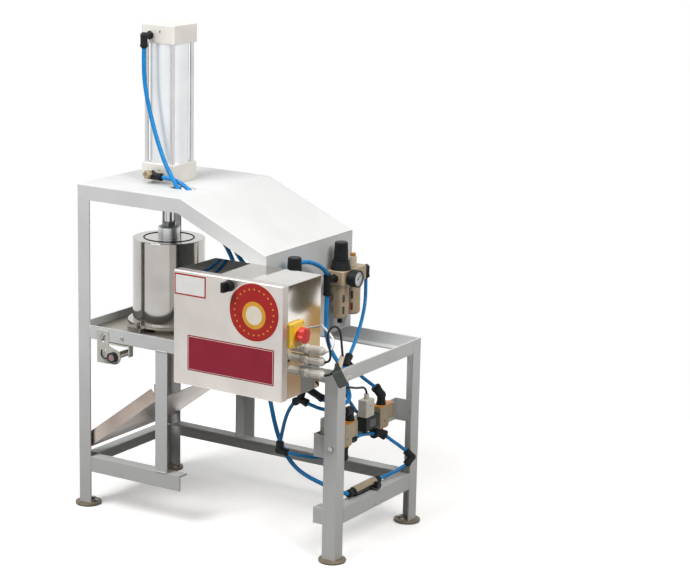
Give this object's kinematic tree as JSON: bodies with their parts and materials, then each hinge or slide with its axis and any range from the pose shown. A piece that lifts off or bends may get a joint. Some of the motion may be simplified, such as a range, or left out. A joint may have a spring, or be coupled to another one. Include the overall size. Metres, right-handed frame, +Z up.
{
  "type": "dough ball machine",
  "caption": "Floor-standing pneumatic dough ball machine: an air ram presses dough in a steel barrel through a spout to a cutter and chute, with a control box and air unit.",
  "frame": {"origin": "centre of the frame's rectangle on the floor", "axes": "+X along the front to the right, +Y to the back, +Z up"},
  "size_m": [0.9445, 0.6783, 1.368],
  "materials": {
    "frame_paint": "satin grey paint",
    "foot_pad": "beige moulded feet",
    "sheet_steel": "brushed stainless sheet",
    "barrel_steel": "turned stainless",
    "cap_alloy": "cast and machined alloy",
    "tube_alloy": "anodised tube",
    "rod_chrome": "hard chromed",
    "bright_steel": "zinc plated",
    "seal_rubber": "moulded rubber",
    "box_steel": "brushed stainless, bright",
    "gland_nylon": "white nylon",
    "gear_plastic": "moulded housings",
    "black_plastic": "black moulded plastic",
    "stop_yellow": "yellow moulded plastic",
    "stop_red": "red moulded plastic",
    "champagne_alloy": "champagne anodised alloy",
    "coil_plastic": "dark encapsulated coil",
    "connector_plastic": "light grey plastic",
    "needle_paint": "black",
    "tube_blue": "blue polyurethane",
    "cable_sheath": "cable sheath"
  },
  "bodies": {
    "frame": {"frame_uprights": "frame_paint", "table_rails": "frame_paint", "bottom_rails": "frame_paint", "foot_discs": "foot_pad", "bridge_cover": "frame_paint", "end_plate": "frame_paint", "table_plate": "sheet_steel", "ram_front_cap": "cap_alloy", "ram_tube": "tube_alloy", "ram_rear_cap": "cap_alloy", "ram_tie_rods": "bright_steel", "barrel_jacket": "barrel_steel", "barrel_liner": "barrel_steel", "barrel_feet": "barrel_steel", "nozzle_plate": "barrel_steel", "cutter_guides": "sheet_steel", "cutter_cylinder": "cap_alloy", "dough_chute": "sheet_steel", "sensor_bracket": "sheet_steel", "ball_sensor": "black_plastic", "box_shell": "box_steel", "box_cover": "box_steel", "cable_glands": "gland_nylon", "control_gear": "gear_plastic", "selector_base": "black_plastic", "estop_base": "stop_yellow", "filter_regulator": "champagne_alloy", "lubricator": "champagne_alloy", "line_regulator": "champagne_alloy", "regulator_trim": "black_plastic", "bowl_guards": "champagne_alloy", "pressure_gauge": "black_plastic", "valve_bracket": "frame_paint", "valve_bodies": "champagne_alloy", "valve_coils": "coil_plastic", "valve_connectors": "connector_plastic", "port_fittings": "black_plastic", "flow_control": "champagne_alloy", "fasteners": "bright_steel", "tube_ram_top": "tube_blue", "tube_ram_bottom": "tube_blue", "air_feed_tubes": "tube_blue", "valve_tubes": "tube_blue", "control_cables": "cable_sheath", "inline_fittings": "black_plastic", "lead_plug": "black_plastic"},
    "ram": {"ram_piston": "cap_alloy", "ram_rod": "rod_chrome", "rod_nut": "bright_steel", "plunger_hub": "barrel_steel", "plunger_disc": "barrel_steel", "plunger_seal": "seal_rubber"},
    "cutter": {"cutter_blade": "barrel_steel", "cutter_rod": "rod_chrome"},
    "selector": {"selector_knob": "black_plastic"},
    "stop_button": {"estop_button": "stop_red"},
    "filter_knob": {"filter_knob": "black_plastic"},
    "line_regulator_knob": {"line_regulator_knob": "black_plastic"},
    "gauge_needle": {"gauge_needle": "needle_paint"},
    "flow_knob": {"flow_knob": "black_plastic"}
  },
  "joints": [
    {"name": "ram_slide", "type": "slide", "parent": "frame", "child": "ram", "axis": [0, 0, 1], "range_m": [-0.225, 0.055]},
    {"name": "cutter_slide", "type": "slide", "parent": "frame", "child": "cutter", "axis": [-1, 0, 0], "range_m": [0, 0.075]},
    {"name": "selector_turn", "type": "hinge", "parent": "frame", "child": "selector", "pos_m": [0.212, -0.406, 0.765], "axis": [0, -1, 0], "range_deg": [-45, 45]},
    {"name": "stop_press", "type": "slide", "parent": "frame", "child": "stop_button", "axis": [-1, 0, 0], "range_m": [0, 0.005]},
    {"name": "filter_knob_turn", "type": "hinge", "parent": "frame", "child": "filter_knob", "pos_m": [0.238, 0.097, 0.75], "axis": [0, 0, 1], "range_deg": [-360, 360]},
    {"name": "line_knob_turn", "type": "hinge", "parent": "frame", "child": "line_regulator_knob", "pos_m": [0.244, -0.146, 0.75], "axis": [0, 0, 1], "range_deg": [-360, 360]},
    {"name": "needle_turn", "type": "hinge", "parent": "frame", "child": "gauge_needle", "pos_m": [0.2946, 0.097, 0.702], "axis": [-1, 0, 0], "range_deg": [-190, 80]},
    {"name": "flow_knob_turn", "type": "hinge", "parent": "frame", "child": "flow_knob", "pos_m": [0.43, 0, 0.162], "axis": [1, 0, 0], "range_deg": [-360, 360]}
  ]
}
